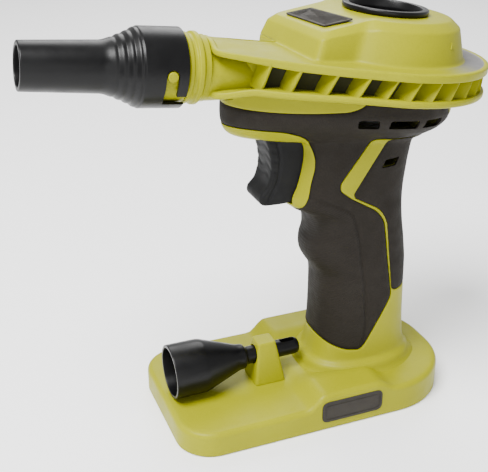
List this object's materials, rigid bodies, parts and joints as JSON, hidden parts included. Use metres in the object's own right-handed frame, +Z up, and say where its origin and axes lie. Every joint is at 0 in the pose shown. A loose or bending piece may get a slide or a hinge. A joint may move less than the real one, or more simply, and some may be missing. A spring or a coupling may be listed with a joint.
{
  "type": "air mattress pump",
  "caption": "Cordless pistol-grip air mattress pump: round fan housing with slatted rim and top port, tapered blowing nozzle, trigger handle and a flat foot with a clipped-on spare nozzle.",
  "frame": {"origin": "on the floor under the middle of the whole object, on the flat underside of the foot", "axes": "+Z up, the nozzle blows towards -X, +Y to the right-hand side seen from behind the nozzle"},
  "size_m": [0.2123, 0.0994, 0.1966],
  "materials": {
    "yellow_shell": "moulded lime-yellow plastic, fine satin grain",
    "grip_rubber": "charcoal soft-touch overmould, fine texture",
    "black_plastic": "black moulded plastic",
    "black_nozzle": "black satin plastic",
    "black_trim": "black satin plastic, slightly glossier",
    "badge": "plain charcoal plate",
    "seal_rubber": "black seal rubber",
    "steel": "bright steel",
    "bearing_bronze": "sintered bronze",
    "copper": "copper",
    "contact_brass": "tinned brass",
    "ferrite": "dull ferrite",
    "lead_red": "red wire insulation",
    "lead_black": "black wire insulation"
  },
  "bodies": {
    "housing": {"fan_cover": "yellow_shell", "volute_housing": "yellow_shell", "port_ring": "black_trim", "port_screen": "black_plastic", "port_gasket": "seal_rubber", "motor_can": "steel", "motor_end_cap": "black_plastic", "front_bearing": "bearing_bronze", "rear_bearing": "bearing_bronze", "magnet_left": "ferrite", "magnet_right": "ferrite", "motor_screw_front": "steel", "motor_screw_rear": "steel", "motor_gasket": "seal_rubber", "spigot_seal": "seal_rubber", "nozzle_holder": "yellow_shell", "left_housing": "yellow_shell", "left_front_grip": "grip_rubber", "left_rear_grip": "grip_rubber", "right_housing": "yellow_shell", "right_front_grip": "grip_rubber", "right_rear_grip": "grip_rubber", "trigger_spring": "steel", "switch_body": "black_plastic", "switch_guide": "black_plastic", "terminal_block": "black_plastic", "battery_contact_1": "contact_brass", "battery_contact_2": "contact_brass", "battery_contact_3": "contact_brass", "battery_lead_red": "lead_red", "battery_lead_black": "lead_black", "motor_lead_red": "lead_red", "motor_lead_black": "lead_black", "housing_screw_1": "steel", "housing_screw_2": "steel", "housing_screw_3": "steel", "roof_badge": "badge"},
    "rotor": {"impeller": "black_plastic", "impeller_nut": "steel", "motor_shaft": "steel", "armature": "steel", "commutator": "copper"},
    "trigger": {"trigger": "black_trim"},
    "nozzle": {"main_nozzle": "black_nozzle"},
    "spare_nozzle": {"stored_nozzle": "black_nozzle"}
  },
  "joints": [
    {"name": "rotor_spin", "type": "hinge", "parent": "housing", "child": "rotor", "pos_m": [0.05605, 0, 0.16787], "axis": [0.1108, 0, 0.9938], "continuous": true},
    {"name": "trigger_pull", "type": "slide", "parent": "housing", "child": "trigger", "axis": [1, 0, 0], "range_m": [0, 0.005], "stiffness_N_per_m": 800, "springref_m": -0.002, "deforming": ["trigger_spring"]},
    {"name": "nozzle_twist", "type": "hinge", "parent": "housing", "child": "nozzle", "pos_m": [-0.03917, 0, 0.17572], "axis": [-0.9938, 0, 0.1108], "range_deg": [0, 40]},
    {"name": "spare_nozzle_slide", "type": "slide", "parent": "housing", "child": "spare_nozzle", "axis": [-1, 0, 0], "range_m": [0, 0.03]}
  ]
}
